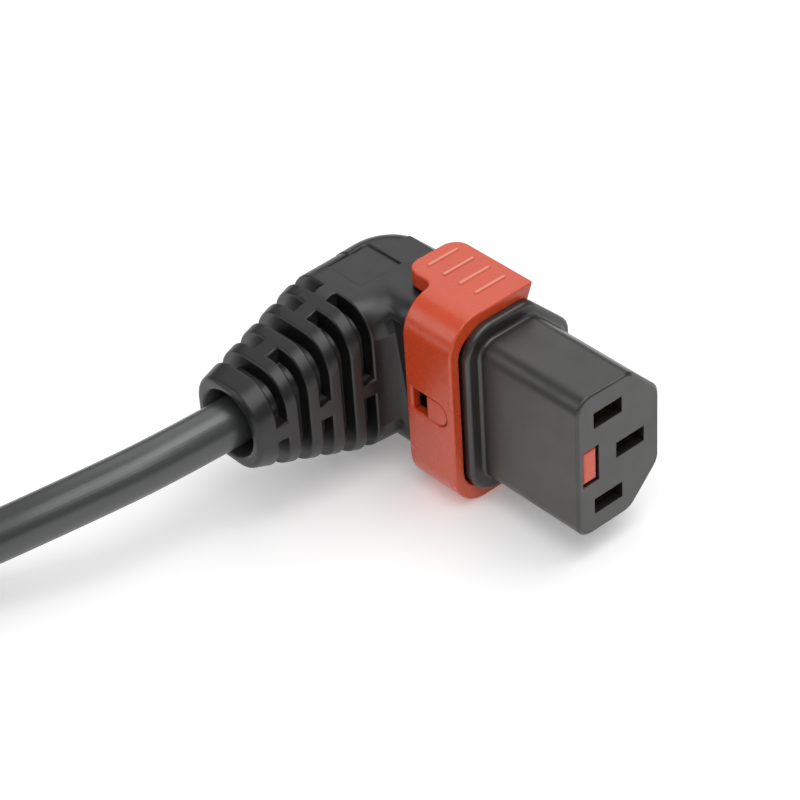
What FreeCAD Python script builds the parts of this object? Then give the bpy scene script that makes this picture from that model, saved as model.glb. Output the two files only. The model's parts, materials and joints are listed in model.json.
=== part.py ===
"""Locking right-angle power cord: a C13 connector with a sliding release collar, its cord and a C14 plug.

The origin is the centre of the connector's mating face. The connector mates along -Y, +X is the side of
the earth contact and the chamfered corners, and +Z is up. The cord leaves along -X.
"""
import FreeCAD, Part
import Sketcher
import math
import os
import re

os.makedirs("parts", exist_ok=True)
doc = FreeCAD.newDocument("locking_power_cord")

# Driving dimensions in millimetres, degrees for angles. A text that starts with = follows from others.
SIZES = {
    # nose of the connector
    "nose_narrow": 14.9,
    "nose_wide": 22.7,
    "nose_length": 17.75,
    "nose_chamfer": 5.4,
    "nose_corner": 2.5,
    "nose_edge": 0.4,
    "nose_wall": 1.6,
    "front_wall": 1.5,
    "slot_long": 5.08,
    "slot_short": 2.47,
    "pole_pitch": 7.0,
    "pole_offset": 2.0,
    # shoulder flange behind the nose
    "flange_rim": 2.15,
    "flange_rim_earth": 1.4,
    "flange_thickness": 1.25,
    "flange_corner": 4.6,
    "flange_turn": 3.0,
    "flange_edge": 0.6,
    "flange_root": 0.5,
    # neck that the collar slides on, and the spigot inside the overmould
    "neck_reach_left": 2.05,
    "neck_left": "=nose_narrow / 2 + neck_reach_left",
    "flange_lap": 0.1,
    "flange_left": "=neck_left + flange_lap",
    "neck_reach_right": 0.65,
    "neck_right": "=nose_narrow / 2 + neck_reach_right",
    "neck_step": 1.3,
    "neck_half": "=nose_wide / 2 + flange_rim - neck_step",
    "neck_chamfer": 5.8,
    "neck_corner": 3.0,
    "neck_length": 10.0,
    "spigot_inset": 2.0,
    "spigot_length": 4.0,
    "fit_gap": 0.05,
    "slide_gap": 0.3,
    # axis of the cord, measured from the back of the neck
    "boot_set": 11.35,
    "boot_axis": "=nose_length + flange_thickness + neck_length + boot_set",
    # release collar
    "collar_wall": 1.65,
    "collar_band": 9.05,
    "collar_front_gap": 0.05,
    "collar_corner": 5.2,
    "collar_cheek": 2.6,
    "collar_half": "=neck_half + slide_gap + collar_cheek",
    "grip_cove": 1.5,
    "grip_left": 5.7,
    "grip_right": 3.7,
    "grip_undercut": 1.1,
    "grip_length": 14.75,
    "grip_corner": 2.4,
    "rib_count": 4,
    "rib_pitch": 3.0,
    "rib_first": 2.55,
    "rib_length": 5.4,
    "rib_left": 3.5,
    "rib_width": 0.5,
    "rib_height": 0.25,
    "collar_travel": 3.0,
    # lock tongue and the peg that holds it in the collar's window
    "tongue_left": 6.3,
    "tongue_thickness": 2.4,
    "tongue_half": 2.6,
    "tongue_recess": 0.15,
    "tongue_gap": 0.25,
    "peg_radius": 1.75,
    "peg_front": 1.35,
    "peg_length": 3.7,
    "tongue_tail": 2.4,
    "tongue_end": "=nose_length + flange_thickness + collar_front_gap + peg_front + peg_length + tongue_tail",
    "window_length": 6.6,
    "window_gap": 0.1,
    "peg_gap": 0.4,
    # plate that grips the earth pin
    "plate_thickness": 0.6,
    "plate_half": 2.4,
    "plate_pivot_x": 5.3,
    "plate_foot": 0.4,
    "plate_reach": 10.5,
    "plate_tab": 1.9,
    "plate_tab_half": 1.2,
    "plate_hole_long": 4.6,
    "plate_hole_short": 2.5,
    "plate_cant": 9.0,
    "plate_space": 4.2,
    "cavity_start": 12.0,
    "tab_gap": 0.45,
    # contacts
    "contact_long": 5.5,
    "contact_short": 3.3,
    "contact_sheet": 0.4,
    "contact_front": 1.7,
    "contact_back": 11.5,
    "contact_strip": 2.4,
    "contact_rise": 1.75,
    "crimp_set": 21.35,
    "crimp_start": "=boot_axis - crimp_set",
    "crimp_length": 6.0,
    "crimp_outer": 1.6,
    "crimp_inner": 1.05,
    "chamber_gap": 0.2,
    "carrier_length": 15.5,
    # elbow and strain relief
    "elbow_behind": 8.25,
    "elbow_back": "=boot_axis + elbow_behind",
    "elbow_outer_round": 7.2,
    "elbow_back_round": 5.0,
    "elbow_inset": 3.2,
    "elbow_ring": 13.0,
    "boot_taper_start": 14.0,
    "boot_tip": 32.0,
    "boot_root_half": 8.07,
    "boot_root_flare": 0.9,
    "boot_overlap": 5.0,
    "boot_tip_half": 6.4,
    "boot_tip_rise": 6.1,
    "boot_corner": 5.2,
    "boot_end_round": 0.8,
    "boot_slot_first": 14.1,
    "boot_slot_pitch": 3.5,
    "boot_slot_width": 1.7,
    "boot_slot_depth": 2.0,
    "boot_bridge": 2.6,
    "funnel_radius": 5.1,
    "funnel_depth": 3.0,
    "label_long": 7.0,
    "label_wide": 6.6,
    "label_x": -6.4,
    "label_set": 0.85,
    "label_depth": 0.35,
    # cord, cores and coil
    "cord_radius": 3.4,
    "core_radius": 1.2,
    "strand_radius": 0.95,
    "jacket_start": 24.0,
    "channel_half_wide": 8.4,
    "channel_half_deep": 4.4,
    "channel_end_half": 3.6,
    "chamber_inset": 1.0,
    "chamber_wall": 4.4,
    "hank_right": -89.2,
    "hank_set": 4.65,
    "hank_y": "=boot_axis - hank_set",
    "hank_straight": 40.0,
    "hank_inner_turn": 20.6,
    "hank_x": "=hank_right - hank_straight / 2 - hank_inner_turn - 3 * cord_radius",
    "hank_edge": 1.2,
    "tie_thickness": 0.9,
    "tie_width": 12.0,
    "tie_gap": 0.1,
    # cord plug
    "plug_wide": 28.4,
    "plug_narrow": 20.5,
    "plug_wall": 2.0,
    "plug_chamfer": 6.0,
    "plug_shroud": 20.0,
    "plug_cavity": 16.5,
    "plug_corner": 3.5,
    "plug_grip": 14.0,
    "plug_grip_inset": 0.8,
    "plug_rear_bevel": 3.0,
    "plug_relief": 22.0,
    "plug_relief_root": 6.0,
    "plug_relief_tip": 4.8,
    "plug_x": -124.9,
    "plug_set": 19.75,
    "plug_y": "=boot_axis + plug_set",
    "pin_long": 4.0,
    "pin_short": 2.0,
    "pin_recess": 4.0,
    "pin_tail": 4.0,
    "pin_gap": 0.05,
    "earth_pin_lead": 1.5,
}

sheet = doc.addObject("Spreadsheet::Sheet", "Sizes")
for row, (alias, value) in enumerate(SIZES.items(), start=1):
    sheet.set(f"A{row}", alias)
    sheet.set(f"B{row}", str(value))
    sheet.setAlias(f"B{row}", alias)
doc.recompute()


def formula(text):
    """The text with every size name pointed at its cell of the sheet."""
    return re.sub(r"[a-z_]+", lambda word: "Sizes." + word[0] if word[0] in SIZES else word[0], str(text))


def size(alias):
    """A driving dimension as a number."""
    return float(sheet.get(alias))


def bind(item, **formulas):
    """Bind properties of an object to formulas; a double underscore in a name stands for a dot."""
    for name, text in formulas.items():
        item.setExpression(name.replace("__", "."), formula(text))


# Sketch and feature helpers


def new_body(label):
    body = doc.addObject("PartDesign::Body", label)
    body.Label = label
    return body


def sketch_on(body, role, offset="0"):
    """An empty sketch on one of the body's own planes, moved along that plane's normal."""
    sketch = body.newObject("Sketcher::SketchObject", "Sketch")
    plane = next(item for item in body.Origin.OriginFeatures if item.Role == role)
    sketch.AttachmentSupport = (plane, [""])
    sketch.MapMode = "FlatFace"
    bind(sketch, AttachmentOffset__Base__z=offset)
    return sketch


def section_at(body, y):
    """A sketch in a plane across the mating axis: its x is X and its y is Z."""
    return sketch_on(body, "XZ_Plane", f"-({y})")


def pin_point(sketch, item, point, x, y):
    """Fix one point of a sketch by its two distances from the origin."""
    for kind, text in (("DistanceX", x), ("DistanceY", y)):
        index = sketch.addConstraint(Sketcher.Constraint(kind, -1, 1, item, point, 1.0))
        sketch.setExpression(f"Constraints[{index}]", formula(text))


def polygon(sketch, points):
    """A closed outline with straight sides, each corner given by two formulas."""
    first = sketch.GeometryCount
    count = len(points)
    turn = 2 * math.pi / count
    spots = [FreeCAD.Vector(math.cos(turn * i), math.sin(turn * i), 0) for i in range(count)]
    for i in range(count):
        sketch.addGeometry(Part.LineSegment(spots[i], spots[(i + 1) % count]))
    for i in range(count):
        sketch.addConstraint(Sketcher.Constraint("Coincident", first + i, 2, first + (i + 1) % count, 1))
    for i, (x, y) in enumerate(points):
        pin_point(sketch, first + i, 1, x, y)


def rectangle(sketch, left, right, bottom, top):
    polygon(sketch, [(left, bottom), (right, bottom), (right, top), (left, top)])


def circle(sketch, x, y, radius):
    item = sketch.addGeometry(Part.Circle(FreeCAD.Vector(0, 0, 0), FreeCAD.Vector(0, 0, 1), 1))
    pin_point(sketch, item, 3, x, y)
    index = sketch.addConstraint(Sketcher.Constraint("Radius", item, 1.0))
    sketch.setExpression(f"Constraints[{index}]", formula(radius))


def chamfered(sketch, left, right, half, chamfer):
    """The connector outline: a rectangle with both corners of its +X side cut off."""
    polygon(sketch, [
        (f"-({left})", f"-({half})"), (f"({right}) - ({chamfer})", f"-({half})"),
        (right, f"({chamfer}) - ({half})"), (right, f"({half}) - ({chamfer})"),
        (f"({right}) - ({chamfer})", half), (f"-({left})", half)])


def pad(body, sketch, length, backwards=False):
    """Add material along the sketch's normal, or against it."""
    feature = body.newObject("PartDesign::Pad", "Pad")
    feature.Profile = sketch
    feature.Reversed = backwards
    bind(feature, Length=length)
    doc.recompute()
    return feature


def pocket(body, sketch, length, forwards=False):
    """Cut against the sketch's normal, or along it, and make sure that something was cut."""
    before = body.Shape.Volume
    feature = body.newObject("PartDesign::Pocket", "Pocket")
    feature.Profile = sketch
    feature.Reversed = forwards
    bind(feature, Length=length)
    doc.recompute()
    if not 0 < body.Shape.Volume < before:
        raise RuntimeError(f"a pocket of {body.Label} cuts nothing")
    return feature


def picked_edges(base, chosen):
    """Names of the edges that the test picks by middle point and direction."""
    names = []
    for number, edge in enumerate(base.Shape.Edges, start=1):
        middle = edge.valueAt((edge.FirstParameter + edge.LastParameter) / 2)
        direction = edge.Vertexes[-1].Point - edge.Vertexes[0].Point
        if direction.Length > 1e-6:
            direction.normalize()
        if chosen(middle, direction):
            names.append(f"Edge{number}")
    return names


def round_edges(body, radius, chosen):
    base = body.Tip
    feature = body.newObject("PartDesign::Fillet", "Fillet")
    feature.Base = (base, picked_edges(base, chosen))
    bind(feature, Radius=radius)
    doc.recompute()
    return feature


def bevel_edges(body, width, chosen):
    base = body.Tip
    feature = body.newObject("PartDesign::Chamfer", "Chamfer")
    feature.Base = (base, picked_edges(base, chosen))
    bind(feature, Size=width)
    doc.recompute()
    return feature


def near(a, b):
    return abs(a - b) < 0.02


# Shared formulas of the connector

NOSE_HALF = "nose_wide / 2"
NOSE_SIDE = "nose_narrow / 2"
FLANGE_CHAMFER = "nose_chamfer + flange_rim + flange_rim_earth * (1 - sqrt(2))"
FLANGE_BACK = "nose_length + flange_thickness"
NECK_BACK = "nose_length + flange_thickness + neck_length"
SPIGOT_BACK = "nose_length + flange_thickness + neck_length + spigot_length"
SPIGOT_CHAMFER = "neck_chamfer - spigot_inset * (2 - sqrt(2))"
CAVITY_CHAMFER = "nose_chamfer - nose_wall * (2 - sqrt(2))"
COLLAR_FRONT = "nose_length + flange_thickness + collar_front_gap"
CARRIER_FRONT = "cavity_start + plate_space"
TONGUE_RIGHT = "tongue_thickness - tongue_left"

# Each pole: name, X and Z of its axis
POLES = {
    "line": ("-pole_offset", "pole_pitch"),
    "neutral": ("-pole_offset", "-pole_pitch"),
    "earth": ("pole_offset", "0"),
}


def centred(sketch, x, z, width, height):
    """A rectangle round a pole's axis."""
    rectangle(sketch, f"({x}) - ({width}) / 2", f"({x}) + ({width}) / 2",
              f"({z}) - ({height}) / 2", f"({z}) + ({height}) / 2")


def nose_shell():
    """Hard moulding of the connector: nose, shoulder flange, neck under the collar and rear spigot."""
    body = new_body("nose_shell")
    sketch = section_at(body, FLANGE_BACK)
    chamfered(sketch, "neck_left", "neck_right", "neck_half", "neck_chamfer")
    pad(body, sketch, "neck_length", backwards=True)
    left_corner = lambda spot, way: near(abs(way.y), 1) and near(spot.x, -size("neck_left"))
    round_edges(body, "neck_corner", left_corner)
    sketch = section_at(body, NECK_BACK)
    chamfered(sketch, "neck_left - spigot_inset", "neck_right - spigot_inset", "neck_half - spigot_inset",
              SPIGOT_CHAMFER)
    pad(body, sketch, "spigot_length", backwards=True)

    sketch = section_at(body, "nose_length")
    chamfered(sketch, "flange_left", f"{NOSE_SIDE} + flange_rim_earth",
              f"{NOSE_HALF} + flange_rim", FLANGE_CHAMFER)
    pad(body, sketch, "flange_thickness", backwards=True)
    nose_side = size("nose_narrow") / 2
    nose_half = size("nose_wide") / 2
    flange_left = -size("flange_left")
    flange_right = nose_side + size("flange_rim_earth")
    flange_half = nose_half + size("flange_rim")
    flange_front = size("nose_length")
    turn = lambda spot: near(spot.x, flange_right) or (spot.x > 0 and near(abs(spot.z), flange_half))
    round_edges(body, "flange_turn", lambda spot, way: near(abs(way.y), 1) and turn(spot))
    round_edges(body, "flange_corner", lambda spot, way: near(abs(way.y), 1) and near(spot.x, flange_left))
    round_edges(body, "flange_edge", lambda spot, way: near(spot.y, flange_front))

    sketch = section_at(body, "0")
    chamfered(sketch, NOSE_SIDE, NOSE_SIDE, NOSE_HALF, "nose_chamfer")
    pad(body, sketch, "nose_length", backwards=True)
    round_edges(body, "nose_corner", lambda spot, way: near(abs(way.y), 1) and near(spot.x, -nose_side))
    bevel_edges(body, "nose_edge", lambda spot, way: near(spot.y, 0))
    corner_cut = nose_side + nose_half - size("nose_chamfer")
    beyond = lambda spot: max(abs(spot.x) - nose_side, abs(spot.z) - nose_half,
                              spot.x + abs(spot.z) - corner_cut)
    round_edges(body, "flange_root", lambda spot, way: near(spot.y, flange_front) and beyond(spot) < 0.05)

    # Inside: the carrier's cavity, the chambers of the contacts, the pin slots and the tongue's channel.
    sketch = section_at(body, "cavity_start")
    chamfered(sketch, f"{NOSE_SIDE} - nose_wall", f"{NOSE_SIDE} - nose_wall", f"{NOSE_HALF} - nose_wall",
              CAVITY_CHAMFER)
    pocket(body, sketch, SPIGOT_BACK)
    sketch = section_at(body, "front_wall")
    for name, (x, z) in POLES.items():
        rise = "contact_rise" if name == "earth" else "0"
        centred(sketch, x, f"({z}) + ({rise}) / 2", "contact_long + 2 * chamber_gap",
                f"contact_short + 2 * chamber_gap + {rise}")
    pocket(body, sketch, "cavity_start")
    sketch = section_at(body, "0")
    for x, z in POLES.values():
        centred(sketch, x, z, "slot_long", "slot_short")
    pocket(body, sketch, "2 * front_wall")
    sketch = section_at(body, "0")
    rectangle(sketch, "-tongue_left - tongue_gap", f"{TONGUE_RIGHT} + tongue_gap",
              "-tongue_half - tongue_gap", "tongue_half + tongue_gap")
    pocket(body, sketch, SPIGOT_BACK)
    # Slot in the neck's side wall along which the peg travels with the collar.
    sketch = sketch_on(body, "YZ_Plane", "-tongue_left")
    peg_front = f"{COLLAR_FRONT} + peg_front"
    rectangle(sketch, f"{peg_front} - peg_gap", f"{peg_front} + peg_length + collar_travel + peg_gap",
              "-peg_radius - peg_gap", "peg_radius + peg_gap")
    pocket(body, sketch, "neck_left")
    return body


def contact_carrier():
    """Insulating block that closes the nose from behind and holds the crimped ends apart."""
    body = new_body("contact_carrier")
    sketch = section_at(body, CARRIER_FRONT)
    inset = "(nose_wall + fit_gap)"
    chamfered(sketch, f"{NOSE_SIDE} - {inset}", f"{NOSE_SIDE} - {inset}", f"{NOSE_HALF} - {inset}",
              f"nose_chamfer - ({inset}) * (2 - sqrt(2))")
    pad(body, sketch, "carrier_length", backwards=True)
    sketch = section_at(body, CARRIER_FRONT)
    for name, (x, z) in POLES.items():
        rise = "contact_rise" if name == "earth" else "0"
        centred(sketch, x, f"({z}) + ({rise}) / 2", "contact_short + 2 * chamber_gap",
                f"contact_short + 2 * chamber_gap + {rise}")
    pocket(body, sketch, "carrier_length")
    sketch = section_at(body, CARRIER_FRONT)
    rectangle(sketch, f"-{NOSE_SIDE}", f"{TONGUE_RIGHT} + tongue_gap", "-tongue_half - tongue_gap",
              "tongue_half + tongue_gap")
    pocket(body, sketch, "carrier_length")
    return body


def contact(name, x, z):
    """Folded brass receptacle with a strip to its crimp barrel; the earth strip passes over the plate."""
    body = new_body(f"{name}_contact")
    rise = "contact_rise" if name == "earth" else "0"
    roof = f"({z}) + contact_short / 2"
    half = "contact_strip / 2"
    sketch = section_at(body, "contact_front")
    centred(sketch, x, z, "contact_long", "contact_short")
    pad(body, sketch, "contact_back - contact_front", backwards=True)
    sketch = section_at(body, "contact_front")
    centred(sketch, x, z, "contact_long - 2 * contact_sheet", "contact_short - 2 * contact_sheet")
    pocket(body, sketch, "contact_back")
    if name == "earth":
        for start in ("contact_back - contact_sheet", "crimp_start"):
            sketch = section_at(body, start)
            rectangle(sketch, f"({x}) - {half}", f"({x}) + {half}",
                      f"{roof} - contact_sheet", f"{roof} + {rise}")
            pad(body, sketch, "contact_sheet", backwards=True)
    sketch = section_at(body, "contact_back - contact_sheet")
    rectangle(sketch, f"({x}) - {half}", f"({x}) + {half}",
              f"{roof} + {rise} - contact_sheet", f"{roof} + {rise}")
    pad(body, sketch, "crimp_start - contact_back + 2 * contact_sheet", backwards=True)
    sketch = section_at(body, "crimp_start")
    circle(sketch, x, z, "crimp_outer")
    pad(body, sketch, "crimp_length", backwards=True)
    sketch = section_at(body, "crimp_start + 2 * contact_sheet")
    circle(sketch, x, z, "crimp_inner")
    pocket(body, sketch, "crimp_length")
    return body


def lock_tongue():
    """Red tongue beside the pins, moved by the collar through a D-shaped peg in the collar's window."""
    body = new_body("lock_tongue")
    sketch = section_at(body, "tongue_recess")
    rectangle(sketch, "-tongue_left", TONGUE_RIGHT, "-tongue_half", "tongue_half")
    pad(body, sketch, "tongue_end - tongue_recess", backwards=True)
    front = size("tongue_recess")
    round_edges(body, "nose_edge", lambda spot, way: near(spot.y, front))
    # Slot that the plate's tab reaches into.
    sketch = sketch_on(body, "YZ_Plane", "0")
    tab_y = "cavity_start + plate_space / 2 - (plate_reach - plate_tab / 2) * sin(plate_cant * 1 deg)"
    rectangle(sketch, f"{tab_y} - plate_thickness / 2 - tab_gap", f"{tab_y} + plate_thickness / 2 + tab_gap",
              "-plate_tab_half - tab_gap", "plate_tab_half + tab_gap")
    pocket(body, sketch, "2 * tongue_left")
    # The peg: a round front end and a flat back.
    middle = f"{COLLAR_FRONT} + peg_front + peg_radius"
    sketch = sketch_on(body, "YZ_Plane", "-tongue_left")
    circle(sketch, middle, "0", "peg_radius")
    pad(body, sketch, "neck_left + slide_gap + collar_wall - tongue_left - window_gap", backwards=True)
    sketch = sketch_on(body, "YZ_Plane", "-tongue_left")
    rectangle(sketch, middle, f"{COLLAR_FRONT} + peg_front + peg_length", "-peg_radius", "peg_radius")
    pad(body, sketch, "neck_left + slide_gap + collar_wall - tongue_left - window_gap", backwards=True)
    return body


def lock_plate():
    """Canted spring-steel plate whose window grips the earth pin; its tab sits in the tongue."""
    body = new_body("lock_plate")
    sketch = section_at(body, "-plate_thickness / 2")
    shoulder = "plate_tab - plate_reach"
    polygon(sketch, [
        ("0", "-plate_half"), ("0", "plate_half"), (shoulder, "plate_half"), (shoulder, "plate_tab_half"),
        ("-plate_reach", "plate_tab_half"), ("-plate_reach", "-plate_tab_half"),
        (shoulder, "-plate_tab_half"), (shoulder, "-plate_half")])
    pad(body, sketch, "plate_thickness", backwards=True)
    sketch = section_at(body, "-plate_thickness / 2")
    centred(sketch, "pole_offset - plate_pivot_x", "0", "plate_hole_long", "plate_hole_short")
    pocket(body, sketch, "plate_thickness")
    # The rolled foot on which the plate rocks.
    sketch = sketch_on(body, "XY_Plane", "-plate_half")
    circle(sketch, "0", "0", "plate_foot")
    pad(body, sketch, "2 * plate_half")
    body.Placement.Rotation.Axis = FreeCAD.Vector(0, 0, 1)
    bind(body, Placement__Base__x="plate_pivot_x", Placement__Base__y="cavity_start + plate_space / 2",
         Placement__Rotation__Angle="plate_cant * 1 deg")
    return body


def release_collar():
    """Red U-shaped slider round three sides of the neck, with a ribbed grip above and below."""
    body = new_body("release_collar")
    inner_left = "neck_left + slide_gap"
    outer_left = "neck_left + slide_gap + collar_wall"
    inner_half = "neck_half + slide_gap"
    tip = "grip_right - grip_undercut"
    outline = [(tip, inner_half), (f"-({inner_left})", inner_half),
               (f"-({inner_left})", f"-({inner_half})"), (tip, f"-({inner_half})"),
               ("grip_right", "-collar_half"), (f"-({outer_left})", "-collar_half"),
               (f"-({outer_left})", "collar_half"), ("grip_right", "collar_half")]
    sketch = section_at(body, COLLAR_FRONT)
    polygon(sketch, outline)
    pad(body, sketch, "collar_band", backwards=True)
    inner_x = -size("neck_left") - size("slide_gap")
    bore_corner = lambda spot, way: near(abs(way.y), 1) and near(spot.x, inner_x)
    round_edges(body, "neck_corner + slide_gap", bore_corner)

    # The grips are flush with the band and run on backwards as lips over the elbow.
    sketch = section_at(body, COLLAR_FRONT)
    for sign in ("", "-"):
        polygon(sketch, [("-grip_left", f"{sign}collar_half"), ("grip_right", f"{sign}collar_half"),
                         (tip, f"{sign}({inner_half})"), ("-grip_left", f"{sign}({inner_half})")])
    pad(body, sketch, "grip_length", backwards=True)
    grip_end = body.Shape.BoundBox.YMax
    round_edges(body, "grip_corner", lambda spot, way: near(spot.y, grip_end) and abs(way.x) < 0.7)
    band_end = size("nose_length") + size("flange_thickness") + size("collar_front_gap") + size("collar_band")
    cove = lambda spot: near(spot.x, -size("grip_left")) and near(spot.y, band_end)
    round_edges(body, "grip_cove", lambda spot, way: near(abs(way.z), 1) and cove(spot))
    outer_x = -size("neck_left") - size("slide_gap") - size("collar_wall")
    round_edges(body, "collar_corner", lambda spot, way: near(abs(way.y), 1) and near(spot.x, outer_x))
    # Fine ribs across each grip, grouped in one row that starts at the rear end.
    for level, backwards in (("collar_half", False), ("-collar_half", True)):
        sketch = sketch_on(body, "XY_Plane", level)
        for number in range(int(size("rib_count"))):
            rear = f"{COLLAR_FRONT} + grip_length - rib_first - {number} * rib_pitch"
            rectangle(sketch, "-rib_left", "rib_length - rib_left", rear, f"{rear} + rib_width")
        pad(body, sketch, "rib_height", backwards=backwards)
    # Window for the peg, with a round front end.
    middle = f"{COLLAR_FRONT} + peg_front + peg_radius"
    sketch = sketch_on(body, "YZ_Plane", "-neck_left")
    circle(sketch, middle, "0", "peg_radius + window_gap")
    pocket(body, sketch, "2 * collar_wall + slide_gap")
    sketch = sketch_on(body, "YZ_Plane", "-neck_left")
    rectangle(sketch, middle, f"{COLLAR_FRONT} + peg_front + window_length", "-peg_radius - window_gap",
              "peg_radius + window_gap")
    pocket(body, sketch, "2 * collar_wall + slide_gap")
    return body


# Elbow and strain relief


def box(label, x, y, z, length, width, height):
    item = doc.addObject("Part::Box", label)
    bind(item, Placement__Base__x=x, Placement__Base__y=y, Placement__Base__z=z, Length=length, Width=width,
         Height=height)
    return item


def joined(label, items):
    fusion = doc.addObject("Part::MultiFuse", label)
    fusion.Shapes = items
    fusion.Refine = True
    return fusion


def cut_from(label, base, tool):
    result = doc.addObject("Part::Cut", label)
    result.Base = base
    result.Tool = tool
    result.Refine = True
    return result


def tapered(label, start, end, radius):
    """A block with flat sides that narrows along the strain relief, its long edges rounded.

    Each end is given by its X, the Y of its front and back, and its half height; the start is the wider end.
    """
    start_x, start_front, start_back, start_half = start
    end_x, end_front, end_back, end_half = end
    body = new_body(label)
    sketch = section_at(body, start_front)
    polygon(sketch, [(start_x, start_half), (start_x, f"-({start_half})"), (end_x, f"-({end_half})"),
                     (end_x, end_half)])
    pad(body, sketch, f"({start_back}) - ({start_front})", backwards=True)
    sketch = sketch_on(body, "XY_Plane", start_half)
    polygon(sketch, [(start_x, start_front), (end_x, start_front), (end_x, end_front)])
    polygon(sketch, [(start_x, start_back), (end_x, start_back), (end_x, end_back)])
    pocket(body, sketch, f"2 * ({start_half})")
    round_edges(body, radius, lambda spot, way: abs(way.x) > 0.5)
    return body


def boot_slots(core):
    """Five rows of slots down to the core; each row leaves its own bridges between the ribs."""
    far = "2 * elbow_back"
    rows = [("crown", "side"), ("crown",), ("side",), ("crown",), ("side",)]
    tools = []
    for number, bridges in enumerate(rows):
        left = f"-boot_slot_first - {number} * boot_slot_pitch - boot_slot_width / 2"
        slab = box("slab", left, f"boot_axis - {far} / 2", f"-{far} / 2", "boot_slot_width", far, far)
        keep = [core]
        for bridge in bridges:
            if bridge == "crown":
                keep.append(box("bridge", left, "boot_axis - boot_bridge / 2", f"-{far} / 2",
                                "boot_slot_width", "boot_bridge", far))
            else:
                keep.append(box("bridge", left, f"boot_axis - {far} / 2", "-boot_bridge / 2",
                                "boot_slot_width", far, "boot_bridge"))
        tools.append(cut_from("slot_row", slab, joined("kept", keep)))
    return tools


def elbow_overmould():
    """Soft overmould in one piece: elbow, slotted strain relief and the hollow in which the cores run."""
    ring = new_body("elbow_front")
    sketch = section_at(ring, NECK_BACK)
    chamfered(sketch, "neck_left", "neck_right", "neck_half", "neck_chamfer")
    pad(ring, sketch, "elbow_ring", backwards=True)
    left_corner = lambda spot, way: near(abs(way.y), 1) and near(spot.x, -size("neck_left"))
    round_edges(ring, "neck_corner", left_corner)
    head = new_body("elbow_head")
    sketch = section_at(head, NECK_BACK)
    chamfered(sketch, "neck_left - elbow_inset", "neck_right", "neck_half", "neck_chamfer")
    pad(head, sketch, f"elbow_back - ({NECK_BACK})", backwards=True)
    back = size("elbow_back")
    bend = size("neck_right") - size("neck_chamfer")
    round_edges(head, "elbow_outer_round", lambda spot, way: near(spot.y, back) and spot.x > bend)
    face = lambda spot: near(abs(spot.z), size("neck_half"))
    rear = lambda spot: spot.y > size("boot_axis") and spot.x < bend - 0.1
    round_edges(head, "elbow_back_round", lambda spot, way: face(spot) and rear(spot))

    inside = "boot_overlap - neck_left"
    root_start = (inside, "boot_axis - boot_root_half - boot_root_flare", "elbow_back", "neck_half")
    root_end = ("-boot_taper_start", "boot_axis - boot_root_half", "boot_axis + boot_root_half",
                "neck_half")
    tip_end = ("-boot_tip", "boot_axis - boot_tip_half", "boot_axis + boot_tip_half", "boot_tip_rise")
    root = tapered("boot_root", root_start, root_end, "boot_corner")
    taper = tapered("boot_taper", root_end, tip_end, "boot_corner")
    tip = -size("boot_tip")
    round_edges(taper, "boot_end_round", lambda spot, way: near(spot.x, tip))
    depth = "boot_slot_depth"
    core_start = ("-boot_taper_start + boot_slot_pitch", f"boot_axis - boot_root_half + {depth}",
                  f"boot_axis + boot_root_half - {depth}", f"neck_half - {depth}")
    core_end = ("-boot_tip", f"boot_axis - boot_tip_half + {depth}",
                f"boot_axis + boot_tip_half - {depth}", f"boot_tip_rise - {depth}")
    core = tapered("boot_core", core_start, core_end, f"boot_corner - {depth}")

    hollow = new_body("elbow_hollow")
    sketch = section_at(hollow, f"{NECK_BACK} - neck_length")
    inset = "(spigot_inset - fit_gap)"
    chamfered(sketch, f"neck_left - {inset}", f"neck_right - {inset}", f"neck_half - {inset}",
              f"neck_chamfer - {inset} * (2 - sqrt(2))")
    pad(hollow, sketch, "neck_length + spigot_length + fit_gap", backwards=True)
    inset = "(spigot_inset + chamber_inset)"
    sketch = section_at(hollow, NECK_BACK)
    chamfered(sketch, f"neck_left - {inset}", f"neck_right - {inset}", f"neck_half - {inset}",
              f"neck_chamfer - {inset} * (2 - sqrt(2))")
    pad(hollow, sketch, f"elbow_back - chamber_wall - ({NECK_BACK})", backwards=True)
    channel_start = (inside, "boot_axis - channel_half_deep", "boot_axis + channel_half_deep",
                     "channel_half_wide")
    channel_end = ("-jacket_start", "boot_axis - channel_end_half", "boot_axis + channel_end_half",
                   "channel_end_half")
    channel = tapered("core_channel", channel_start, channel_end, "core_radius")

    bore = doc.addObject("Part::Cylinder", "cord_bore")
    bore.Placement.Rotation = FreeCAD.Rotation(FreeCAD.Vector(0, 1, 0), -90)
    bind(bore, Radius="cord_radius + fit_gap", Height="boot_tip - jacket_start + funnel_depth",
         Placement__Base__x="-jacket_start", Placement__Base__y="boot_axis")
    funnel = doc.addObject("Part::Cone", "cord_funnel")
    funnel.Placement.Rotation = FreeCAD.Rotation(FreeCAD.Vector(0, 1, 0), -90)
    bind(funnel, Radius1="cord_radius + fit_gap", Radius2="funnel_radius", Height="funnel_depth",
         Placement__Base__x="funnel_depth - boot_tip", Placement__Base__y="boot_axis")
    label = box("label_recess", "label_x - label_long / 2", "boot_axis + label_set - label_wide / 2",
                "neck_half - label_depth", "label_long", "label_wide", "2 * label_depth")

    tools = [hollow, channel, bore, funnel, label] + boot_slots(core)
    solid = joined("elbow_solid", [head, ring, root, taper])
    return cut_from("elbow_overmould", solid, joined("elbow_cuts", tools))


# Cord, cores and hank

FLOOR = "-(collar_half + rib_height)"
HANK_BASE = f"{FLOOR} + tie_thickness + tie_gap"
HANK_OUTER = "hank_inner_turn + 3 * cord_radius"
HANK_INNER = "hank_inner_turn - cord_radius"

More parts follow.
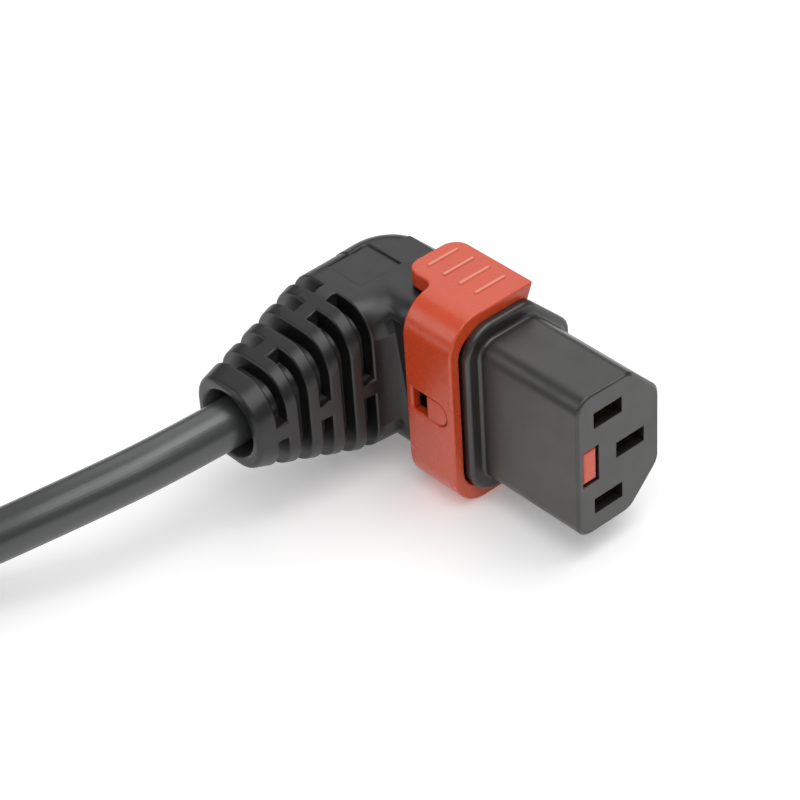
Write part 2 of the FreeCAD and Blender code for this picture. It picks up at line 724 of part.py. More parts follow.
# Route of the cord from the end of its jacket in the elbow to the hank, and from the hank to the plug.
# The middle number of a point is measured from the axis of the strain relief.
ROUTE_IN = [(-24.0, 0.0, 0.0), (-40.5, 0.0, 0.0), (-56.0, 4.45, -2.4), (-71.5, 12.55, -7.6),
            (-86.5, 17.15, -9.6), (-93.4, 18.35, -9.7)]
ROUTE_OUT = [(-110.4, -30.95, -3.3), (-101.6, -26.55, 0.2), (-95.4, -18.85, 3.2), (-92.9, -8.45, 5.4),
             (-94.4, 1.75, 7.0), (-99.3, 10.35, 8.3), (-106.8, 16.55, 9.2), (-115.1, 19.75, 9.5),
             (-124.9, 19.75, 9.5)]
# The run of the outward route in whose middle the hank ends and the tail begins.
TAIL_RUN = 3
# Length of the straight stub by which the arriving cord joins the hank.
STUB_LENGTH = 27.0

# Routes of the three cores from their crimps to the end of the jacket.
CORE_ROUTES = {
    "line": [(-2.0, -15.35, 7.0), (-2.0, -1.15, 7.0), (-23.6, -0.05, 1.6)],
    "neutral": [(-2.0, -15.35, -7.0), (-2.0, -2.35, -7.0), (-23.6, -1.3, -0.85)],
    "earth": [(2.0, -15.35, 0.0), (2.0, 0.35, 0.0), (-23.9, 1.3, -0.75)],
}
# Share of the shorter neighbouring run that a corner's arc may use.
ARC_SHARE = 0.45


def route_point(point):
    """A point of a route in the part's frame."""
    x, behind, z = point
    return FreeCAD.Vector(x, size("boot_axis") + behind, z)


def corner_arc(before, at, after):
    """First, middle and last point of the arc that rounds a corner of a route, and its radius."""
    back = (before - at).normalize()
    ahead = (after - at).normalize()
    reach = ARC_SHARE * min((before - at).Length, (after - at).Length)
    half_turn = (math.pi - back.getAngle(ahead)) / 2
    radius = reach / math.tan(half_turn)
    inward = (back + ahead).normalize()
    middle = at + inward * (radius / math.cos(half_turn) - radius)
    return at + back * reach, middle, at + ahead * reach, radius


def route_wire(label, points, first_run=None, last_run=None):
    """Straight runs joined by tangent arcs, between the ends of a route or the middles of two of its runs."""
    spots = [route_point(point) for point in points]
    low = 1 if first_run is None else first_run + 1
    high = len(spots) - 1 if last_run is None else last_run + 1
    start = spots[0] if first_run is None else (spots[first_run] + spots[first_run + 1]) * 0.5
    end = spots[-1] if last_run is None else (spots[last_run] + spots[last_run + 1]) * 0.5
    edges = []
    radii = []
    here = start
    for number in range(low, high):
        enter, middle, leave, radius = corner_arc(spots[number - 1], spots[number], spots[number + 1])
        edges.append(Part.LineSegment(here, enter).toShape())
        edges.append(Part.Arc(enter, middle, leave).toShape())
        radii.append(round(radius, 1))
        here = leave
    edges.append(Part.LineSegment(here, end).toShape())
    print(label, "bend radii", radii)
    return Part.Wire(edges)


def tube(label, wire, radius):
    """A round solid along a wire, its volume compared with its section times its length."""
    first = wire.Edges[0]
    ring = Part.Wire(Part.makeCircle(radius, first.valueAt(first.FirstParameter),
                                     first.tangentAt(first.FirstParameter)))
    shape = wire.makePipeShell([ring], True, False)
    expected = math.pi * radius ** 2 * wire.Length
    if abs(shape.Volume - expected) > 0.01 * expected:
        raise RuntimeError(f"{label} is not a clean tube")
    item = doc.addObject("Part::Feature", label)
    item.Label = label
    item.Shape = shape
    return item


def cylinder_along(label, start, direction, length, radius):
    item = doc.addObject("Part::Feature", label)
    item.Label = label
    item.Shape = Part.makeCylinder(radius, length, start, direction)
    return item


def strand(name, x, z):
    """Stripped copper end of a core, inside its crimp."""
    body = new_body(f"{name}_strand")
    sketch = section_at(body, "crimp_start + 3 * contact_sheet")
    circle(sketch, x, z, "strand_radius")
    pad(body, sketch, "crimp_length - 3 * contact_sheet", backwards=True)
    return body


def stadium(body, base, radius, straight, height, remove=False):
    """A block with two straight sides and two round ends, added to a body or cut from it."""
    for kind in ("middle", "right", "left"):
        sketch = sketch_on(body, "XY_Plane", base)
        if kind == "middle":
            rectangle(sketch, f"hank_x - {straight} / 2", f"hank_x + {straight} / 2", f"hank_y - ({radius})",
                      f"hank_y + ({radius})")
        else:
            sign = "+" if kind == "right" else "-"
            circle(sketch, f"hank_x {sign} {straight} / 2", "hank_y", radius)
        if remove:
            pocket(body, sketch, height, forwards=True)
        else:
            pad(body, sketch, height)


def cord_coil():
    """Put-away length of the cord: an oval hank two turns wide and two high, with the stubs that lead on."""
    body = new_body("hank")
    height = "4 * cord_radius"
    stadium(body, HANK_BASE, HANK_OUTER, "hank_straight", height)
    stadium(body, HANK_BASE, HANK_INNER, "hank_straight", height, remove=True)
    low = body.Shape.BoundBox.ZMin
    high = body.Shape.BoundBox.ZMax
    bevel_edges(body, "hank_edge", lambda spot, way: near(spot.z, low) or near(spot.z, high))
    last = route_point(ROUTE_IN[-1])
    heading = last - route_point(ROUTE_IN[-2])
    stub_in = cylinder_along("stub_in", last, heading, STUB_LENGTH, size("cord_radius"))
    stub_out = tube("stub_out", route_wire("stub_out", ROUTE_OUT, None, TAIL_RUN), size("cord_radius"))
    return joined("cord_coil", [body, stub_in, stub_out])


def coil_tie():
    """Strap round the front run of the hank."""
    body = new_body("coil_tie")
    middle = "(hank_y - hank_inner_turn - cord_radius)"
    gap = "(2 * cord_radius + tie_gap)"
    outer = "(2 * cord_radius + tie_gap + tie_thickness)"
    centre = f"({HANK_BASE} + 2 * cord_radius)"
    sketch = sketch_on(body, "YZ_Plane", "hank_x - tie_width / 2")
    rectangle(sketch, f"{middle} - {outer}", f"{middle} + {outer}",
              f"{centre} - {outer}", f"{centre} + {outer}")
    pad(body, sketch, "tie_width")
    sketch = sketch_on(body, "YZ_Plane", "hank_x - tie_width / 2")
    rectangle(sketch, f"{middle} - {gap}", f"{middle} + {gap}", f"{centre} - {gap}", f"{centre} + {gap}")
    pocket(body, sketch, "tie_width", forwards=True)
    half = 2 * size("cord_radius") + size("tie_gap")
    heart = body.Shape.BoundBox.Center
    corner = lambda spot, reach: near(abs(spot.y - heart.y), reach) and near(abs(spot.z - heart.z), reach)
    round_edges(body, "hank_edge", lambda spot, way: corner(spot, half))
    half += size("tie_thickness")
    round_edges(body, "hank_edge + tie_thickness", lambda spot, way: corner(spot, half))
    return body


# Cord plug

PLUG_AXIS_Z = f"({HANK_BASE} + 4 * cord_radius + plug_narrow / 2)"
PLUG_LENGTH = "plug_shroud + plug_grip + plug_relief"


def lay_plug(item):
    """Turn a plug piece from its own frame, mouth towards -Y, to where it lies on the hank, mouth to -X."""
    item.Placement.Rotation = FreeCAD.Rotation(FreeCAD.Vector(0, 0, 1), -90)
    bind(item, Placement__Base__x=f"plug_x - ({PLUG_LENGTH})", Placement__Base__y="plug_y",
         Placement__Base__z=PLUG_AXIS_Z)
    return item


def plug_outline(sketch, inset):
    """The inlet outline, wide along X, with its two upper corners cut off."""
    side = f"(plug_wide / 2 - ({inset}))"
    half = f"(plug_narrow / 2 - ({inset}))"
    cut = f"(plug_chamfer - ({inset}) * (2 - sqrt(2)))"
    polygon(sketch, [(f"-{side}", f"-{half}"), (side, f"-{half}"), (side, f"{half} - {cut}"),
                     (f"{side} - {cut}", half), (f"{cut} - {side}", half), (f"-{side}", f"{half} - {cut}")])


# Plug pins: the same pitch and offset as the connector's slots, turned with the wide side along X
PLUG_PINS = {
    "line": ("-pole_pitch", "-pole_offset", "pin_recess"),
    "neutral": ("pole_pitch", "-pole_offset", "pin_recess"),
    "earth": ("0", "pole_offset", "pin_recess - earth_pin_lead"),
}


def plug_shroud():
    """Hard front of the plug: an open shroud with a floor that carries the pins."""
    body = new_body("plug_shroud")
    sketch = section_at(body, "0")
    plug_outline(sketch, "0")
    pad(body, sketch, "plug_shroud", backwards=True)
    low = -size("plug_narrow") / 2
    round_edges(body, "plug_corner", lambda spot, way: near(abs(way.y), 1) and near(spot.z, low))
    sketch = section_at(body, "0")
    plug_outline(sketch, "plug_wall")
    pocket(body, sketch, "plug_cavity")
    sketch = section_at(body, "plug_cavity")
    for x, z, recess in PLUG_PINS.values():
        centred(sketch, x, z, "pin_short + 2 * pin_gap", "pin_long + 2 * pin_gap")
    pocket(body, sketch, "plug_shroud")
    return lay_plug(body)


def plug_overmould():
    """Grip and strain relief of the plug, moulded in one piece on the shroud and the cord."""
    body = new_body("plug_grip_block")
    sketch = section_at(body, "plug_shroud")
    centred(sketch, "0", "0", "plug_wide - 2 * plug_grip_inset", "plug_narrow - 2 * plug_grip_inset")
    pad(body, sketch, "plug_grip", backwards=True)
    rear = body.Shape.BoundBox.YMax
    round_edges(body, "plug_corner", lambda spot, way: near(abs(way.y), 1))
    bevel_edges(body, "plug_rear_bevel", lambda spot, way: near(spot.y, rear))
    sketch = section_at(body, "plug_shroud")
    for x, z, recess in PLUG_PINS.values():
        centred(sketch, x, z, "pin_short + 2 * pin_gap", "pin_long + 2 * pin_gap")
    pocket(body, sketch, "pin_tail + pin_gap")
    relief = doc.addObject("Part::Cone", "plug_relief_cone")
    relief.Placement.Rotation = FreeCAD.Rotation(FreeCAD.Vector(1, 0, 0), -90)
    bind(relief, Radius1="plug_relief_root", Radius2="plug_relief_tip", Height="plug_relief",
         Placement__Base__y="plug_shroud + plug_grip")
    return lay_plug(joined("plug_overmould", [body, relief]))


def plug_pin(name, x, z, recess):
    """One flat pin of the plug, with a rounded lead-in at its tip."""
    body = new_body(f"plug_{name}_pin")
    sketch = section_at(body, recess)
    centred(sketch, x, z, "pin_short", "pin_long")
    pad(body, sketch, f"plug_shroud + pin_tail - ({recess})", backwards=True)
    tip = body.Shape.BoundBox.YMin
    round_edges(body, "pin_short / 4", lambda spot, way: near(spot.y, tip))
    return lay_plug(body)


nodes = [nose_shell(), contact_carrier(), lock_tongue(), lock_plate(), release_collar(), elbow_overmould()]
for pole, (pole_x, pole_z) in POLES.items():
    nodes.append(contact(pole, pole_x, pole_z))
    nodes.append(strand(pole, pole_x, pole_z))
    nodes.append(tube(f"{pole}_core", route_wire(f"{pole}_core", CORE_ROUTES[pole]), size("core_radius")))
nodes.append(tube("cord_tube", route_wire("cord_tube", ROUTE_IN), size("cord_radius")))
nodes.append(cord_coil())
nodes.append(tube("cord_tail", route_wire("cord_tail", ROUTE_OUT, TAIL_RUN, None), size("cord_radius")))
nodes.append(coil_tie())
nodes.append(plug_shroud())
nodes.append(plug_overmould())
for pole, (pin_x, pin_z, pin_start) in PLUG_PINS.items():
    nodes.append(plug_pin(pole, pin_x, pin_z, pin_start))
doc.recompute()

for item in doc.Objects:
    if "Invalid" in item.State or "Error" in item.State:
        raise RuntimeError(f"{item.Label} failed: {item.State}")
for node in nodes:
    if node.Shape.isNull() or not node.Shape.isValid() or len(node.Shape.Solids) != 1:
        raise RuntimeError(f"{node.Label} is not one valid solid")
for node in nodes:
    node.Shape.exportStep(f"parts/{node.Label}.step")
    print(node.Label, round(node.Shape.Volume, 1))
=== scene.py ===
"""Looks of the locking right-angle power cord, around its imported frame.

Lengths here are in millimetres, apart from those of the floor and the lamps, which are in metres.
"""
import json
import math

import bmesh
import bpy
from mathutils import Matrix, Vector


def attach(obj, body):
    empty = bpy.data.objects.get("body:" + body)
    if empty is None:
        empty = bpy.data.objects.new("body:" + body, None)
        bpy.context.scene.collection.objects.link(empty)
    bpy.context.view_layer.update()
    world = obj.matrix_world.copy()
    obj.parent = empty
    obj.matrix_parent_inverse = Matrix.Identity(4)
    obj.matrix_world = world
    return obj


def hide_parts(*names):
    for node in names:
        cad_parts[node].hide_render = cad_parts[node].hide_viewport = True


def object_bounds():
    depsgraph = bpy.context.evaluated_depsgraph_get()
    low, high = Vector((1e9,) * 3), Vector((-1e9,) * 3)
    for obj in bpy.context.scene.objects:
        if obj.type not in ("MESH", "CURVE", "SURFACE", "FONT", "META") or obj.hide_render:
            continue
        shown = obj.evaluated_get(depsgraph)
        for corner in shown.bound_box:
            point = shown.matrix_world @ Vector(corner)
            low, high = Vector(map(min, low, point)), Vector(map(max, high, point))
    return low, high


MM = 0.001

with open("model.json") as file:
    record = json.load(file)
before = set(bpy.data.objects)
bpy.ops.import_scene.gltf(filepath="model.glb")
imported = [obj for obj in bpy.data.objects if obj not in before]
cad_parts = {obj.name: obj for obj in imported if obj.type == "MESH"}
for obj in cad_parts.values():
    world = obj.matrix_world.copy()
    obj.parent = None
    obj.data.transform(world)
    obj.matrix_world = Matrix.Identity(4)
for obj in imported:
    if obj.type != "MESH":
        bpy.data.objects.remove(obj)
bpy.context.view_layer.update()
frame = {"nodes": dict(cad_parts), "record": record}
nodes = frame["nodes"]


def put_in_scene(name, data):
    """An object in the scene that shows the data."""
    thing = bpy.data.objects.new(name, data)
    bpy.context.scene.collection.objects.link(thing)
    return thing


# Camera, set from the connector's own geometry in the picture

PICTURE = 800
CAMERA_AZIMUTH = -39.55
CAMERA_ELEVATION = 37.79
CAMERA_ROLL = -3.93
CAMERA_SHIFT = (28.11, -6.24)
CAMERA_DISTANCE = 356.95
CAMERA_NEAREST = 10.0
CAMERA_FARTHEST = 20000.0
FOCAL_PIXELS = 2782.9
SENSOR = 36.0


def make_camera():
    """The camera at the picture's viewing angle."""
    azimuth = math.radians(CAMERA_AZIMUTH)
    elevation = math.radians(CAMERA_ELEVATION)
    roll = math.radians(CAMERA_ROLL)
    level = Vector((math.cos(azimuth), math.sin(azimuth), 0))
    back = Vector((math.sin(azimuth) * math.cos(elevation), -math.cos(azimuth) * math.cos(elevation),
                   math.sin(elevation)))
    upright = back.cross(level)
    right = level * math.cos(roll) + upright * math.sin(roll)
    up = upright * math.cos(roll) - level * math.sin(roll)
    eye = back * CAMERA_DISTANCE - right * CAMERA_SHIFT[0] - up * CAMERA_SHIFT[1]
    data = bpy.data.cameras.new("camera")
    data.sensor_width = SENSOR
    data.lens = SENSOR * FOCAL_PIXELS / PICTURE
    data.clip_start = CAMERA_NEAREST * MM
    data.clip_end = CAMERA_FARTHEST * MM
    camera = put_in_scene("camera", data)
    camera.matrix_world = Matrix.Translation(eye * MM) @ Matrix((right, up, back)).transposed().to_4x4()
    bpy.context.scene.camera = camera


make_camera()


# Materials

# Scales of the slow drifts of colour and gloss on a moulding, per metre.
COLOUR_DRIFT = 90.0
GLOSS_DRIFT = 260.0
# Radius by which the edges of metal pieces are softened, and samples for such an edge.
METAL_EDGE = 0.1
EDGE_SAMPLES = 6
# Height of the collar's grips at the foot of their ribs, above which an edge belongs to a rib.
RIB_FOOT = 15.1
RIB_LINE = RIB_FOOT + 0.02
# Height from which the ribs' crests are painted pale as a painted highlight, and half the height over which
# the colour changes.
HIGHLIGHT_LINE = RIB_FOOT + 0.06
HIGHLIGHT_FADE = 0.03


def set_inputs(tree, node, **inputs):
    """Set a node's inputs, each to a number, a colour or another node's socket; _ stands for a space."""
    for name, value in inputs.items():
        socket = node.inputs[name.replace("_", " ")]
        if isinstance(value, bpy.types.NodeSocket):
            tree.links.new(value, socket)
        else:
            socket.default_value = value


def add(tree, kind, **inputs):
    """A new shader node with its inputs set."""
    node = tree.nodes.new(kind)
    set_inputs(tree, node, **inputs)
    return node


def new_look(name):
    """An empty material: its node tree, its surface shader and the coordinates of the piece in metres."""
    look = bpy.data.materials.new(name)
    look.use_nodes = True
    tree = look.node_tree
    shader = next(node for node in tree.nodes if node.type == "BSDF_PRINCIPLED")
    place = add(tree, "ShaderNodeTexCoord").outputs["Object"]
    return look, tree, shader, place


def stretched(tree, place, scale):
    """Coordinates scaled by three numbers, so that a pattern gets a direction."""
    return add(tree, "ShaderNodeMapping", Vector=place, Scale=scale).outputs["Vector"]


def height(tree, place):
    """The upright one of three coordinates."""
    return add(tree, "ShaderNodeSeparateXYZ", Vector=place).outputs["Z"]


def computed(tree, operation, *values):
    """The result of an operation on one or two sockets."""
    node = add(tree, "ShaderNodeMath")
    node.operation = operation
    for socket, value in zip(node.inputs, values):
        tree.links.new(value, socket)
    return node.outputs[0]


def noise(tree, place, scale, detail=3.0):
    """A cloudy factor around one half."""
    return add(tree, "ShaderNodeTexNoise", Vector=place, Scale=scale, Detail=detail).outputs[0]


def between(tree, factor, low, high, start=0.3, end=0.7):
    """A number that goes from low to high while the factor goes from start to end."""
    node = add(tree, "ShaderNodeMapRange", Value=factor, From_Min=start, From_Max=end,
               To_Min=low, To_Max=high)
    return node.outputs[0]


def tone(tree, factor, dark, light, start=0.3, end=0.7):
    """A colour that goes from dark to light while the factor goes from start to end."""
    ramp = add(tree, "ShaderNodeValToRGB", Fac=factor)
    first, last = ramp.color_ramp.elements
    first.position = start
    first.color = (*dark, 1.0)
    last.position = end
    last.color = (*light, 1.0)
    return ramp.outputs[0]


def soft_edge(tree, radius):
    """Normals rounded over sharp edges, as every moulding has them."""
    bevel = add(tree, "ShaderNodeBevel", Radius=radius * MM)
    bevel.samples = EDGE_SAMPLES
    return bevel.outputs[0]


def painted_highlight(tree, place, colour, line, pale):
    """The colour, turned pale where a piece reaches past a height above or below its middle: a painted
    highlight, as where raised ribs catch the light.
    """
    level = computed(tree, "ABSOLUTE", height(tree, place))
    share = between(tree, level, 0.0, 1.0, (line - HIGHLIGHT_FADE) * MM, (line + HIGHLIGHT_FADE) * MM)
    return add(tree, "ShaderNodeMixRGB", Fac=share, Color1=colour, Color2=(*pale, 1.0)).outputs[0]


def moulded(name, dark, light, rough, grain, depth, edge, crest_highlight=None, **extra):
    """Moulded plastic: a slow drift of colour and gloss, a fine eroded grain and softened edges."""
    look, tree, shader, place = new_look(name)
    colour = tone(tree, noise(tree, place, COLOUR_DRIFT), dark, light)
    if crest_highlight:
        colour = painted_highlight(tree, place, colour, *crest_highlight)
    grit = noise(tree, place, scale=1.0 / (grain * MM), detail=2.0)
    bump = add(tree, "ShaderNodeBump", Strength=0.6, Distance=depth * MM, Height=grit,
               Normal=soft_edge(tree, edge))
    set_inputs(tree, shader, Base_Color=colour, Normal=bump.outputs[0], **extra,
               Roughness=between(tree, noise(tree, place, GLOSS_DRIFT), rough - 0.05, rough + 0.05))
    return look


def metal(name, dark, light, rough, lines):
    """Rolled or plated metal with fine lines along one direction."""
    look, tree, shader, place = new_look(name)
    streak = noise(tree, stretched(tree, place, lines), scale=900.0, detail=4.0)
    bump = add(tree, "ShaderNodeBump", Strength=0.25, Distance=0.01 * MM, Height=streak,
               Normal=soft_edge(tree, METAL_EDGE))
    set_inputs(tree, shader, Base_Color=tone(tree, streak, dark, light), Metallic=1.0,
               Roughness=between(tree, streak, rough - 0.06, rough + 0.08), Normal=bump.outputs[0])
    return look


def striped(name, one, two):
    """Core insulation: one colour with a stripe of the other along it."""
    look, tree, shader, place = new_look(name)
    wave = computed(tree, "SINE", height(tree, stretched(tree, place, (1.0, 1.0, 400.0))))
    set_inputs(tree, shader, Base_Color=tone(tree, wave, one, two, 0.45, 0.55),
               Roughness=between(tree, noise(tree, place, scale=300.0), 0.38, 0.5))
    return look


def jacket(name, dark, light):
    """Extruded cord jacket: fine lines along the cord and a satin gloss."""
    look, tree, shader, place = new_look(name)
    along = add(tree, "ShaderNodeTexCoord").outputs["UV"]
    lines = noise(tree, stretched(tree, along, (3.0, 26.0, 1.0)), scale=3.0, detail=4.0)
    grit = noise(tree, place, scale=3200.0, detail=2.0)
    drift = noise(tree, place, scale=60.0)
    fine = add(tree, "ShaderNodeBump", Strength=0.3, Distance=0.012 * MM, Height=grit)
    bump = add(tree, "ShaderNodeBump", Strength=0.35, Distance=0.05 * MM, Height=lines,
               Normal=fine.outputs[0])
    set_inputs(tree, shader, Base_Color=tone(tree, drift, dark, light), Specular_IOR_Level=0.95,
               Roughness=between(tree, lines, 0.27, 0.37), Normal=bump.outputs[0])
    return look


def webbing(name, dark, light):
    """Woven strap: crossing threads in the relief and in the tone."""
    look, tree, shader, place = new_look(name)
    threads = []
    for direction in ("X", "DIAGONAL"):
        wave = add(tree, "ShaderNodeTexWave", Vector=place, Scale=420.0, Distortion=1.5, Detail=2.0)
        wave.wave_type = "BANDS"
        wave.bands_direction = direction
        threads.append(wave.outputs["Fac"])
    weave = computed(tree, "MAXIMUM", *threads)
    bump = add(tree, "ShaderNodeBump", Strength=0.7, Distance=0.15 * MM, Height=weave)
    set_inputs(tree, shader, Base_Color=tone(tree, weave, dark, light), Roughness=0.8, Normal=bump.outputs[0])
    return look


LOOKS = {
    "nose_plastic": moulded("nose_plastic", (0.011, 0.0098, 0.0085), (0.0155, 0.0139, 0.0122),
                            rough=0.38, grain=0.14, depth=0.025, edge=0.15, Specular_IOR_Level=0.88),
    "soft_black": moulded("soft_black", (0.005, 0.0048, 0.0047), (0.008, 0.0077, 0.0075),
                          rough=0.36, grain=0.3, depth=0.012, edge=0.15, Specular_IOR_Level=0.6),
    "release_red": moulded("release_red", (0.58, 0.055, 0.01), (0.64, 0.064, 0.013),
                           rough=0.27, grain=0.3, depth=0.003, edge=0.15, Specular_IOR_Level=0.75,
                           # The crests of the grip's ribs get a painted highlight.
                           crest_highlight=(HIGHLIGHT_LINE, (0.8, 0.26, 0.17)),
                           Subsurface_Weight=0.1, Subsurface_Radius=(1.0, 0.2, 0.1),
                           Subsurface_Scale=0.6 * MM),
    "carrier_plastic": moulded("carrier_plastic", (0.07, 0.07, 0.07), (0.09, 0.09, 0.09),
                               rough=0.55, grain=0.2, depth=0.02, edge=0.2),
    # The brass is darker than bare brass: painted shade for the contacts that sit deep in the nose's slots.
    "contact_brass": metal("contact_brass", (0.2, 0.14, 0.06), (0.3, 0.22, 0.11), 0.45, (1.0, 0.08, 1.0)),
    "copper": metal("copper", (0.62, 0.3, 0.18), (0.82, 0.45, 0.3), 0.35, (1.0, 0.05, 1.0)),
    "spring_steel": metal("spring_steel", (0.45, 0.45, 0.46), (0.62, 0.62, 0.63), 0.32, (0.08, 1.0, 1.0)),
    "pin_metal": metal("pin_metal", (0.66, 0.65, 0.61), (0.8, 0.79, 0.76), 0.22, (0.08, 1.0, 1.0)),
    "line_insulation": striped("line_insulation", (0.2, 0.09, 0.04), (0.25, 0.12, 0.06)),
    "neutral_insulation": striped("neutral_insulation", (0.06, 0.16, 0.5), (0.08, 0.2, 0.6)),
    "earth_insulation": striped("earth_insulation", (0.1, 0.35, 0.06), (0.7, 0.6, 0.05)),
    "cord_jacket": jacket("cord_jacket", (0.03, 0.032, 0.032), (0.04, 0.042, 0.042)),
    "tie_black": webbing("tie_black", (0.012, 0.012, 0.012), (0.04, 0.04, 0.042)),
}
SLOTS = {part["node"]: part["material_slot"] for part in frame["record"]["subparts"]}
for name, node in nodes.items():
    for holder in node.material_slots:
        holder.material = LOOKS[SLOTS[name]]


# Mouldings with rounded edges, in place of the sharp-edged nodes

# Edges that turn by more than the first angle are rounded, and faces within the second are one face.
# Rounded faces that meet at more than the third stay apart in their shading.
SHARP_ANGLE = math.radians(28)
FLAT_ANGLE = math.radians(1)
SHADE_ANGLE = math.radians(40)
EDGE_STEPS = 3
# Points nearer than the first length are one point, and faces thinner than the second are closed up.
WELD = 0.001
SLIVER = 0.002
# Widths of the rounded edges.
CORNER_EDGE = 0.9
ELBOW_EDGE = 0.3
PLUG_EDGE = 0.4
SHROUD_EDGE = 0.25
COLLAR_EDGE = 0.3
RIB_EDGE = 0.2
# Size of the nose, the long edges of its cut corners, and how far from them a rounded edge may lie.
NOSE_SIDE = 7.45
NOSE_HALF = 11.35
NOSE_CUT = 5.4
NOSE_LENGTH = 17.75
CORNER_LINES = [(NOSE_SIDE, NOSE_HALF - NOSE_CUT), (NOSE_SIDE - NOSE_CUT, NOSE_HALF)]
CORNER_REACH = 0.5


def is_sharp(edge):
    """Whether an edge is an outer corner of its piece."""
    return edge.is_manifold and edge.is_convex and edge.calc_face_angle() > SHARP_ANGLE


def middle(edge):
    """The middle of an edge, in metres."""
    return (edge.verts[0].co + edge.verts[1].co) / 2


def everywhere(spot):
    """The test for a piece on which all sharp edges get the same width."""
    return True


def at_cut_corner(spot):
    """Whether a point lies on one of the long edges of the nose's cut corners."""
    if spot.y > NOSE_LENGTH * MM:
        return False
    return any(math.dist((spot.x / MM, abs(spot.z) / MM), line) < CORNER_REACH for line in CORNER_LINES)


def on_rib(spot):
    """Whether a point of the collar lies on a rib of its grips."""
    return abs(spot.z) > RIB_LINE * MM


def off_rib(spot):
    """Whether a point of the collar lies below the ribs of its grips."""
    return not on_rib(spot)


def softened(name, body, widths):
    """A copy of a CAD node with its sharp outer edges rounded, by each width where its test is met."""
    work = bmesh.new()
    work.from_mesh(nodes[name].data)
    bmesh.ops.remove_doubles(work, verts=work.verts, dist=WELD * MM)
    bmesh.ops.dissolve_limit(work, angle_limit=FLAT_ANGLE, verts=work.verts, edges=work.edges)
    for amount, chosen in widths:
        edges = [edge for edge in work.edges if is_sharp(edge) and chosen(middle(edge))]
        bmesh.ops.bevel(work, geom=edges, offset=amount * MM, offset_type="OFFSET", segments=EDGE_STEPS,
                        profile=0.5, affect="EDGES", clamp_overlap=False)
    bmesh.ops.dissolve_degenerate(work, dist=SLIVER * MM, edges=work.edges)
    mesh = bpy.data.meshes.new(name + "_soft")
    work.to_mesh(mesh)
    work.free()
    mesh.shade_smooth()
    mesh.set_sharp_from_angle(angle=SHADE_ANGLE)
    mesh.materials.append(LOOKS[SLOTS[name]])
    piece = put_in_scene(name + "_soft", mesh)
    weighted = piece.modifiers.new("flat_faces", "WEIGHTED_NORMAL")
    weighted.keep_sharp = True
    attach(piece, body)
    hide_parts(name)
    return piece


softened("nose_shell", "connector", [(CORNER_EDGE, at_cut_corner)])
softened("elbow_overmould", "connector", [(ELBOW_EDGE, everywhere)])
plug_body = softened("plug_overmould", "connector", [(PLUG_EDGE, everywhere)])
plug_nose = softened("plug_shroud", "connector", [(SHROUD_EDGE, everywhere)])
softened("release_collar", "slider", [(COLLAR_EDGE, off_rib), (RIB_EDGE, on_rib)])


# Cord: the route of the part's source, and the laps of the hank by a loop

CORD_RADIUS = 3.4
# Fineness of the cord's surface, round it and along it.
CORD_ROUND = 8
CORD_STEPS = 6
BOOT_AXIS = 40.35
# The middle number of a point is measured from the axis of the strain relief.
ROUTE_IN = [(-24.0, 0.0, 0.0), (-40.5, 0.0, 0.0), (-56.0, 4.45, -2.4), (-71.5, 12.55, -7.6),
            (-86.5, 17.15, -9.6), (-93.4, 18.35, -9.7), (-104.0, 20.65, -9.9)]
ROUTE_OUT = [(-110.4, -31.2, -3.1), (-101.6, -26.55, 0.2), (-95.4, -18.85, 3.2), (-92.9, -8.45, 5.4),
             (-94.4, 1.75, 7.0), (-99.3, 10.35, 8.3), (-108.3, 17.4, 9.2), (-119.6, 19.75, 9.5),
             (-124.9, 19.75, 9.5)]
# Middle of the hank, the second number measured from the axis of the strain relief.
HANK_X = -140.0
HANK_SET = -4.65
HANK_Z = -7.55
HANK_STRAIGHT = 40.0
HANK_TURN = 24.0
HANK_BEND = math.pi * HANK_TURN
LAP = 2 * HANK_STRAIGHT + 2 * HANK_BEND
LAPS = 4
LAP_POINTS = 36
# Stretch of each lap, over the right end, on which a strand moves on to the next place in the bundle.
CHANGE_START = 142.0
CHANGE_LENGTH = 113.0
# Height by which the bundle rises where it stands on one strand instead of two.
CHANGE_LIFT = 0.45


def smooth_step(value):
    """A soft change from 0 to 1 while the value does the same."""
    value = min(1.0, max(0.0, value))
    return value * value * (3 - 2 * value)


def strand_point(along):
    """A point of the hank's strand, at a distance along its laps from the right end of the back run."""
    spot = along % LAP
    right = HANK_X + HANK_STRAIGHT / 2
    left = HANK_X - HANK_STRAIGHT / 2
    if spot < HANK_STRAIGHT:
        centre = right - spot
        angle = math.pi / 2
    elif spot < HANK_STRAIGHT + HANK_BEND:
        centre = left
        angle = math.pi / 2 + (spot - HANK_STRAIGHT) / HANK_TURN
    elif spot < 2 * HANK_STRAIGHT + HANK_BEND:
        centre = left + spot - HANK_STRAIGHT - HANK_BEND
        angle = -math.pi / 2
    else:
        centre = right
        angle = -math.pi / 2 + (spot - 2 * HANK_STRAIGHT - HANK_BEND) / HANK_TURN
    moves = [smooth_step((along - CHANGE_START - lap * LAP) / CHANGE_LENGTH) for lap in range(-1, LAPS - 1)]
    place = math.pi / 4 * (1 - 2 * sum(moves))
    reach = CORD_RADIUS * math.sqrt(2)
    radius = HANK_TURN + reach * math.cos(place)
    lift = CHANGE_LIFT * math.cos(2 * place) ** 2
    return (centre + radius * math.cos(angle), HANK_SET + radius * math.sin(angle),
            HANK_Z + lift + reach * math.sin(place))


def hank_points():
    """The laps, from just before the first back run to the end of the last front run."""
    last = round((LAPS - 1) * LAP_POINTS + LAP_POINTS * (2 * HANK_STRAIGHT + HANK_BEND) / LAP)
    return [strand_point(step * LAP / LAP_POINTS) for step in range(-1, last + 1)]


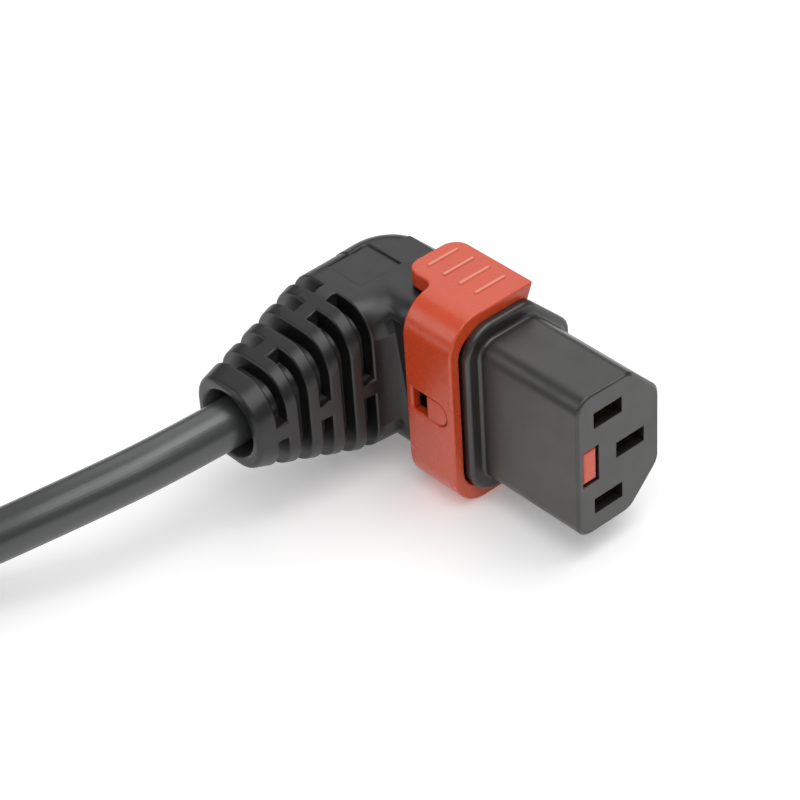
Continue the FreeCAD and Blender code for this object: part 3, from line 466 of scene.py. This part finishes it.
def make_cord():
    """The whole cord on one smooth curve, from inside the elbow over the hank to the plug."""
    route = ROUTE_IN + hank_points() + ROUTE_OUT
    data = bpy.data.curves.new("cord", "CURVE")
    data.dimensions = "3D"
    data.bevel_depth = CORD_RADIUS * MM
    data.bevel_resolution = CORD_ROUND
    data.resolution_u = CORD_STEPS
    data.use_fill_caps = True
    spline = data.splines.new("NURBS")
    spline.points.add(len(route) - 1)
    for spot, (x, behind, z) in zip(spline.points, route):
        spot.co = (x * MM, (BOOT_AXIS + behind) * MM, z * MM, 1.0)
    spline.order_u = 3
    spline.use_endpoint_u = True
    data.materials.append(LOOKS["cord_jacket"])
    cord = put_in_scene("cord", data)
    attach(cord, "connector")
    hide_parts("cord_tube", "cord_coil", "cord_tail")
    return cord


cord = make_cord()


# Floor and light

FLOOR_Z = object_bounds()[0].z
FLOOR_HALF = 3.0
FLOOR_GLOW = 0.22
# Strength of the sky at the horizon and overhead.
SKY_LOW = 0.13
SKY_HIGH = 0.53
WHITE = (1.0, 1.0, 1.0, 1.0)
# Place that every softbox faces; then the name, place, width and power in watts of each.
AIM = (-0.02, 0.03, 0.0)
SOFTBOXES = [("behind", (0.45, 0.62, 0.75), 0.9, 2.1),
             ("above", (-0.2, -0.36, 1.0), 0.9, 5.0),
             ("above_right", (0.4, -0.12, 1.0), 0.6, 2.7),
             ("left", (-0.75, 0.5, 0.45), 0.5, 1.2)]


def make_floor():
    """A plain pale floor under the part."""
    mesh = bpy.data.meshes.new("floor")
    work = bmesh.new()
    bmesh.ops.create_grid(work, x_segments=1, y_segments=1, size=FLOOR_HALF)
    work.to_mesh(mesh)
    work.free()
    look, tree, shader, place = new_look("pale_floor")
    cloud = noise(tree, place, scale=4.0)
    set_inputs(tree, shader, Base_Color=tone(tree, cloud, (0.9, 0.9, 0.9), (0.93, 0.93, 0.93)), Roughness=0.7,
               Emission_Color=WHITE, Emission_Strength=FLOOR_GLOW)
    mesh.materials.append(look)
    floor = put_in_scene("floor", mesh)
    floor.location = (0, 0, FLOOR_Z)


def make_softbox(name, place, width, power):
    """A square lamp that faces the part."""
    data = bpy.data.lights.new(name, "AREA")
    data.size = width
    data.energy = power
    lamp = put_in_scene(name, data)
    lamp.location = place
    lamp.rotation_euler = (Vector(AIM) - Vector(place)).to_track_quat("-Z", "Y").to_euler()


def make_light():
    """A sky that is brighter overhead, and the softboxes."""
    world = bpy.data.worlds.new("studio")
    world.use_nodes = True
    tree = world.node_tree
    sky = next(node for node in tree.nodes if node.type == "BACKGROUND")
    direction = add(tree, "ShaderNodeTexCoord").outputs["Generated"]
    strength = between(tree, height(tree, direction), SKY_LOW, SKY_HIGH, 0.0, 1.0)
    set_inputs(tree, sky, Color=WHITE, Strength=strength)
    bpy.context.scene.world = world
    for softbox in SOFTBOXES:
        make_softbox(*softbox)
    bpy.context.scene.view_settings.view_transform = "Standard"


make_floor()
make_light()
